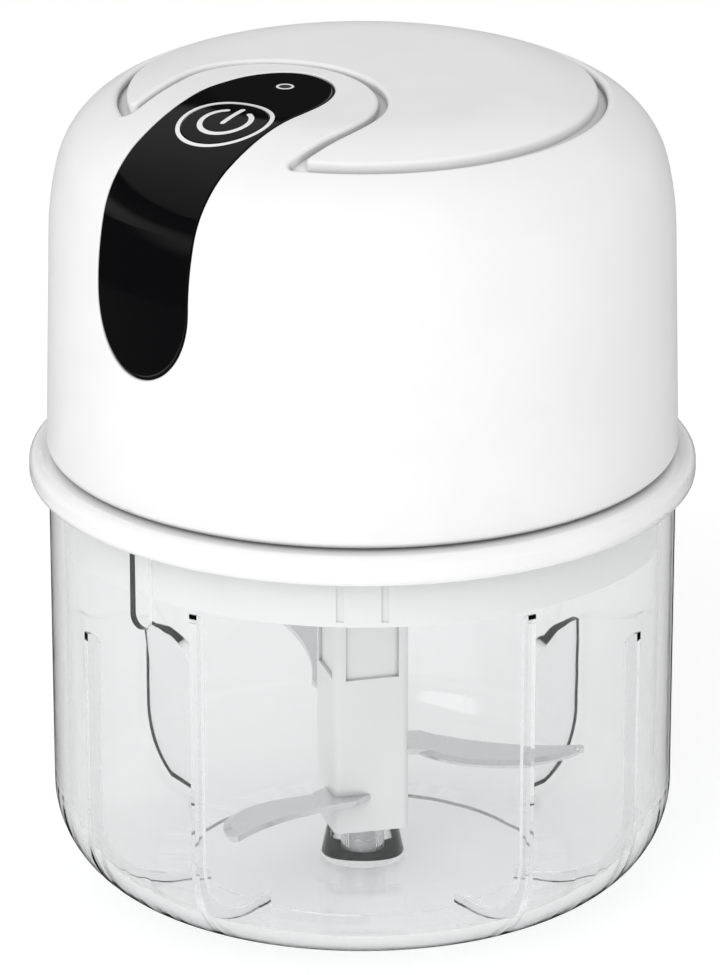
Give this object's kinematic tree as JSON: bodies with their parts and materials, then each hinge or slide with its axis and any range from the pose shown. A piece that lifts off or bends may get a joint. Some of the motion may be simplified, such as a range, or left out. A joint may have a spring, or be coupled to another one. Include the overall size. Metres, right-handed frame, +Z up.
{
  "type": "food processor",
  "caption": "Cordless mini food processor: clear bowl, lid, domed motor head with a curved control strip, and a geared blade drive.",
  "frame": {"origin": "middle of the bowl's foot", "axes": "+Z up along the blade's axis, -Y towards the front"},
  "size_m": [0.092, 0.092, 0.1157],
  "materials": {
    "clear_plastic": "clear gloss",
    "steel": "satin",
    "blade_steel": "polished",
    "white_satin": "satin",
    "white_gloss": "gloss",
    "silicone": "matte",
    "plate_grey": "satin",
    "black_gloss": "gloss",
    "light_white": "gloss",
    "dark_plastic": "matte",
    "board_green": "satin",
    "lens_clear": "gloss",
    "grey_plastic": "matte",
    "gear_plastic": "satin",
    "brass": "satin",
    "armature_steel": "matte",
    "copper": "satin",
    "magnet": "matte",
    "cell_wrap": "gloss",
    "socket_steel": "gloss",
    "wire_red": "satin",
    "cable_white": "satin"
  },
  "bodies": {
    "bowl": {"bowl": "clear_plastic", "pivot_pin": "steel"},
    "blade_set": {"blade_hub": "white_satin", "blade_low": "blade_steel", "blade_mid": "blade_steel", "blade_top": "blade_steel"},
    "lid": {"lid": "white_gloss", "rim_seal": "silicone"},
    "head": {"dome": "white_satin", "top_plate": "plate_grey", "control_strip": "black_gloss", "light_ring": "light_white", "push_switch": "dark_plastic", "switch_board": "board_green", "switch_board_screws": "steel", "led_lens": "lens_clear", "status_led": "light_white", "base_plate": "white_satin", "base_screws": "steel", "safety_switch": "dark_plastic", "gear_cup": "grey_plastic", "ring_gear": "gear_plastic", "gear_cover": "grey_plastic", "output_bushing": "brass", "motor_can": "steel", "motor_screws": "steel", "motor_magnets": "magnet", "motor_cap": "dark_plastic", "motor_terminals": "brass", "cell": "cell_wrap", "cell_tabs": "steel", "main_board": "board_green", "board_chips": "dark_plastic", "board_screws": "steel", "usb_socket": "socket_steel", "motor_wires": "wire_red", "cell_wires": "wire_red", "switch_cable": "cable_white"},
    "button": {"button_cap": "black_gloss", "power_icon": "light_white", "push_plunger": "dark_plastic"},
    "interlock": {"interlock_pin": "grey_plastic"},
    "carrier": {"planet_carrier": "steel", "output_shaft": "steel"},
    "rotor": {"motor_shaft": "steel", "sun_gear": "brass", "armature": "armature_steel", "commutator": "copper"},
    "planet_a": {"planet_a": "gear_plastic"},
    "planet_b": {"planet_b": "gear_plastic"},
    "planet_c": {"planet_c": "gear_plastic"}
  },
  "joints": [
    {"name": "lid_lift", "type": "slide", "parent": "bowl", "child": "lid", "axis": [0, 0, 1], "range_m": [0, 0.07]},
    {"name": "head_lift", "type": "slide", "parent": "lid", "child": "head", "axis": [0, 0, 1], "range_m": [0, 0.05]},
    {"name": "blade_spin", "type": "hinge", "parent": "bowl", "child": "blade_set", "pos_m": [0, 0, 0.02], "axis": [0, 0, 1], "continuous": true},
    {"name": "button_press", "type": "slide", "parent": "head", "child": "button", "axis": [0.1251, 0.1251, -0.9842], "range_m": [0, 0.0006], "stiffness_N_per_m": 400},
    {"name": "interlock_rise", "type": "slide", "parent": "head", "child": "interlock", "axis": [0, 0, 1], "range_m": [0, 0.001], "stiffness_N_per_m": 200},
    {"name": "carrier_spin", "type": "hinge", "parent": "head", "child": "carrier", "pos_m": [0, 0, 0.068], "axis": [0, 0, 1], "continuous": true},
    {"name": "rotor_spin", "type": "hinge", "parent": "head", "child": "rotor", "pos_m": [0, 0, 0.09], "axis": [0, 0, 1], "continuous": true},
    {"name": "planet_a_spin", "type": "hinge", "parent": "carrier", "child": "planet_a", "pos_m": [0.0081, 0, 0.0715], "axis": [0, 0, 1], "continuous": true},
    {"name": "planet_b_spin", "type": "hinge", "parent": "carrier", "child": "planet_b", "pos_m": [-0.00405, 0.00701, 0.0715], "axis": [0, 0, 1], "continuous": true},
    {"name": "planet_c_spin", "type": "hinge", "parent": "carrier", "child": "planet_c", "pos_m": [-0.00405, -0.00701, 0.0715], "axis": [0, 0, 1], "continuous": true}
  ],
  "couplings": [
    {"joint": "carrier_spin", "follows": "blade_spin", "ratio": 1},
    {"joint": "rotor_spin", "follows": "blade_spin", "ratio": 4.5},
    {"joint": "planet_a_spin", "follows": "blade_spin", "ratio": -2.8},
    {"joint": "planet_b_spin", "follows": "blade_spin", "ratio": -2.8},
    {"joint": "planet_c_spin", "follows": "blade_spin", "ratio": -2.8}
  ]
}
